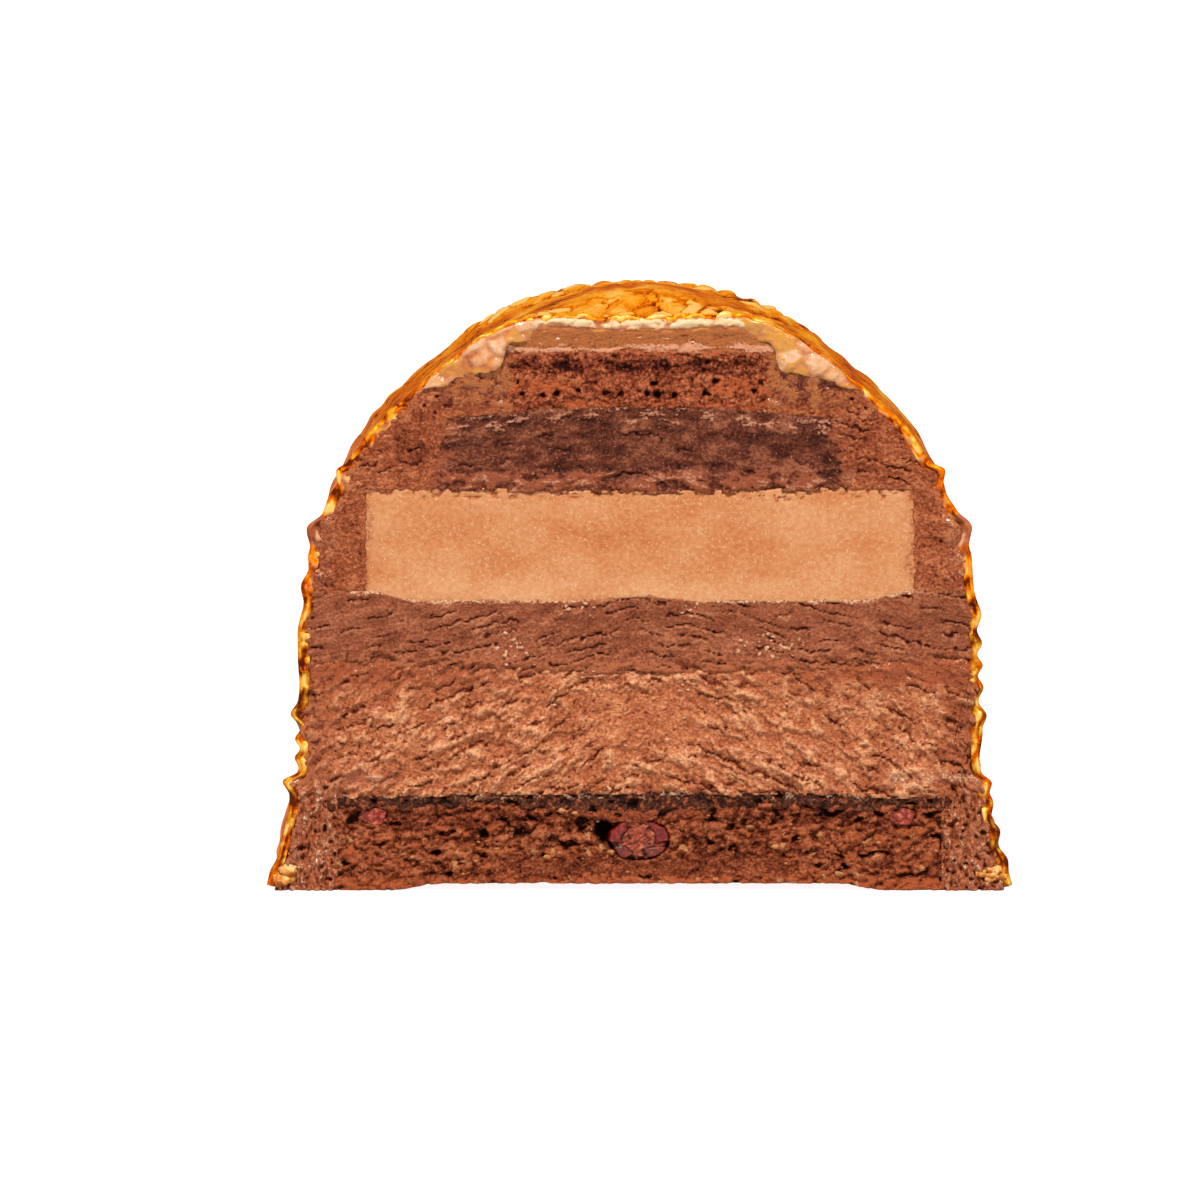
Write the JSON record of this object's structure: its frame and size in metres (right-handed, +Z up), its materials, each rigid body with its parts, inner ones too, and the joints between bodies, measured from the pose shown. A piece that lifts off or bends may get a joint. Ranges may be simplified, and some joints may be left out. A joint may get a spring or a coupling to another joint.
{
  "type": "slice of yule log",
  "caption": "Upright cut slice of a layered yule log cake with a gilded glaze, mousse, caramel, ganache and sponge layers on a cocoa sponge base.",
  "frame": {"origin": "centre of the bounding box's bottom face, where the slice stands", "axes": "+X across the log's width, +Y along the log from the front cut to the back cut, +Z up"},
  "size_m": [0.0868, 0.0311, 0.0696],
  "materials": {
    "glaze": "glossy gilded caramel glaze",
    "cream": "soft satin cream",
    "shell_mousse": "matte chocolate mousse",
    "sponge": "porous cocoa sponge",
    "ganache": "fine dark chocolate ganache",
    "caramel": "smooth satin caramel cream",
    "middle_mousse": "matte milk chocolate mousse",
    "lower_mousse": "light matte praline mousse",
    "dark_chocolate": "near-black chocolate, satin",
    "cocoa_base": "coarse crumbly cocoa sponge",
    "cherry": "wet dark red fruit"
  },
  "bodies": {
    "root": {"glaze": "glaze", "cream": "cream", "shell_mousse": "shell_mousse", "sponge": "sponge", "ganache": "ganache", "caramel": "caramel", "middle_mousse": "middle_mousse", "lower_mousse": "lower_mousse", "chocolate_film": "dark_chocolate", "base_sponge": "cocoa_base", "cherry_front": "cherry", "cherry_back": "cherry", "cherry_chip_left": "cherry", "cherry_chip_right": "cherry"}
  },
  "joints": []
}
